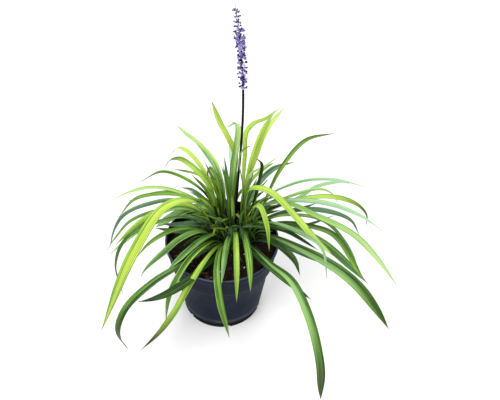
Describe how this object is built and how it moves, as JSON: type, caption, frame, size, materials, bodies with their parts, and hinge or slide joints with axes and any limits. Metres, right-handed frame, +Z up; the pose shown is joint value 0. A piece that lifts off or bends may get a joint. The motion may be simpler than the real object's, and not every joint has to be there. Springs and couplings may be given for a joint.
{
  "type": "potted liriope",
  "caption": "Grass-like liriope clump of long arching leaves with an upright violet flower spike, growing in bark compost in a round dark plastic nursery pot with a stepped rim.",
  "frame": {"origin": "middle of the pot's flat underside, on the surface that it stands on", "axes": "+Z up along the pot's axis; -Y towards the viewer's side, with the clump's middle set off the pot's axis towards +X and +Y"},
  "size_m": [0.4324, 0.415, 0.4972],
  "materials": {
    "pot": "matte dark slate-blue moulded plastic",
    "compost": "damp bark and peat compost",
    "leaf": "satin leaf, light to dark green",
    "stem": "smooth near-black purple stem",
    "florets": "violet petals and buds"
  },
  "bodies": {
    "root": {"pot": "pot", "compost": "compost", "leaves_back_right": "leaf", "leaves_right": "leaf", "leaves_low_right": "leaf", "leaves_front_right": "leaf", "leaves_front_centre": "leaf", "leaves_front": "leaf", "leaves_front_left": "leaf", "leaves_left": "leaf", "leaves_far_left": "leaf", "leaves_back_left": "leaf", "leaves_back": "leaf", "leaves_heart": "leaf", "flower_stem": "stem", "flower_spike": "florets"}
  },
  "joints": []
}
